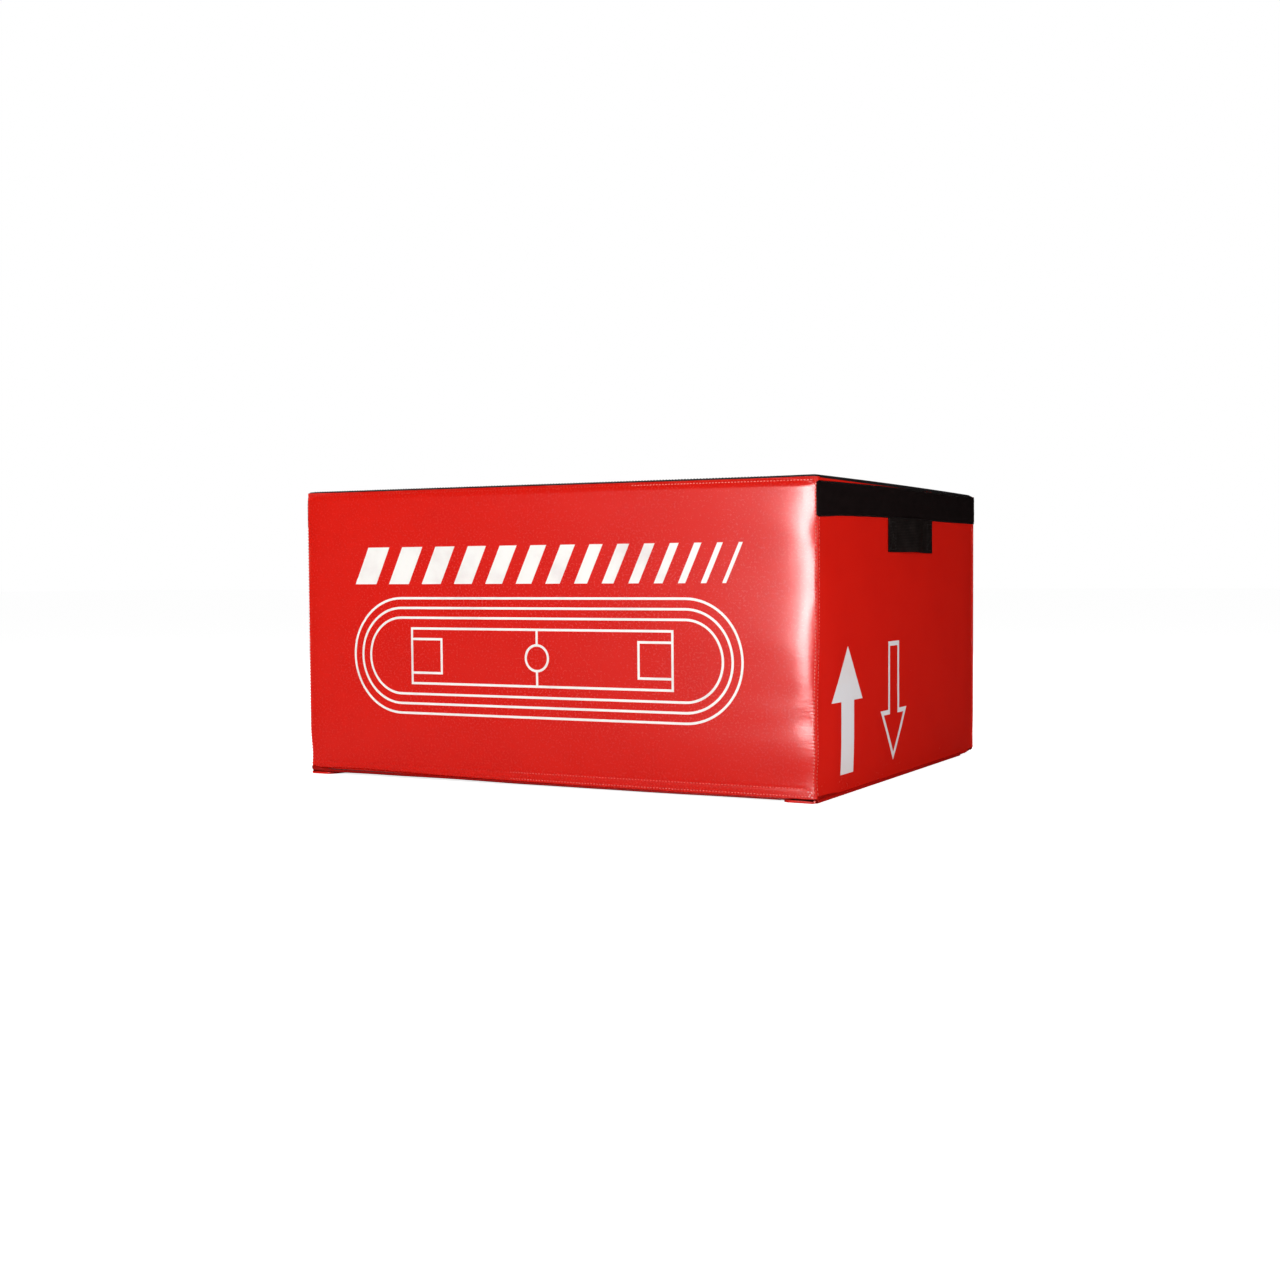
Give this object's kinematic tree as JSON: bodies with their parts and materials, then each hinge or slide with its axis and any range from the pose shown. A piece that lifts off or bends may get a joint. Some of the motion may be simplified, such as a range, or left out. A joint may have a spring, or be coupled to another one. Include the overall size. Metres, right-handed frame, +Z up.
{
  "type": "soft plyo box",
  "caption": "Rectangular foam jump box in a zipped red vinyl cover, with loop bands and carry handles on the ends and hook flaps folded under the base for stacking.",
  "frame": {"origin": "centre of the underside where the standing box meets the floor", "axes": "+Z up, front face towards -Y, +X along the long side to the right-hand end as seen from the front"},
  "size_m": [0.904, 0.7573, 0.45],
  "materials": {
    "red_vinyl": "semi-gloss coated fabric with fine grain",
    "landing_vinyl": "matt black grained vinyl",
    "base_vinyl": "matt black non-slip vinyl",
    "loop_tape": "black looped pile",
    "hook_tape": "black hook tape",
    "webbing": "black woven webbing",
    "soft_foam": "open-cell foam",
    "firm_foam": "closed-cell foam",
    "zip_tape": "black woven tape",
    "zip_coil": "black nylon coil",
    "zip_metal": "black enamelled zinc"
  },
  "bodies": {
    "box": {"back_panel": "red_vinyl", "base_panel": "base_vinyl", "base_piping": "red_vinyl", "foam_base_pad": "firm_foam", "foam_lower_slab": "firm_foam", "foam_middle_slab": "firm_foam", "foam_top_pad": "soft_foam", "foam_upper_slab": "firm_foam", "front_panel": "red_vinyl", "left_end_panel": "red_vinyl", "left_handle": "webbing", "left_loop_band": "loop_tape", "right_end_panel": "red_vinyl", "right_handle": "webbing", "right_loop_band": "loop_tape", "top_panel": "landing_vinyl", "zip_coil_lower": "zip_coil", "zip_coil_upper": "zip_coil", "zip_stops": "zip_metal", "zip_tape_lower": "zip_tape", "zip_tape_upper": "zip_tape"},
    "right_flap": {"right_flap": "red_vinyl", "right_hook_tape": "hook_tape"},
    "left_flap": {"left_flap": "red_vinyl", "left_hook_tape": "hook_tape"},
    "zip_slider": {"zip_slider": "zip_metal"},
    "zip_pull": {"zip_pull": "zip_metal"}
  },
  "joints": [
    {"name": "right_flap_fold", "type": "hinge", "parent": "box", "child": "right_flap", "pos_m": [0.4289, -0.038, 0.0021], "axis": [0, -1, 0], "range_deg": [0, 180]},
    {"name": "left_flap_fold", "type": "hinge", "parent": "box", "child": "left_flap", "pos_m": [-0.4289, -0.038, 0.0021], "axis": [0, 1, 0], "range_deg": [0, 180]},
    {"name": "zip_run", "type": "slide", "parent": "box", "child": "zip_slider", "axis": [1, 0, 0], "range_m": [-0.7494, 0]},
    {"name": "zip_pull_swing", "type": "hinge", "parent": "zip_slider", "child": "zip_pull", "pos_m": [0.3747, 0.3793, 0.08], "axis": [0, 0, -1], "range_deg": [0, 180]}
  ]
}
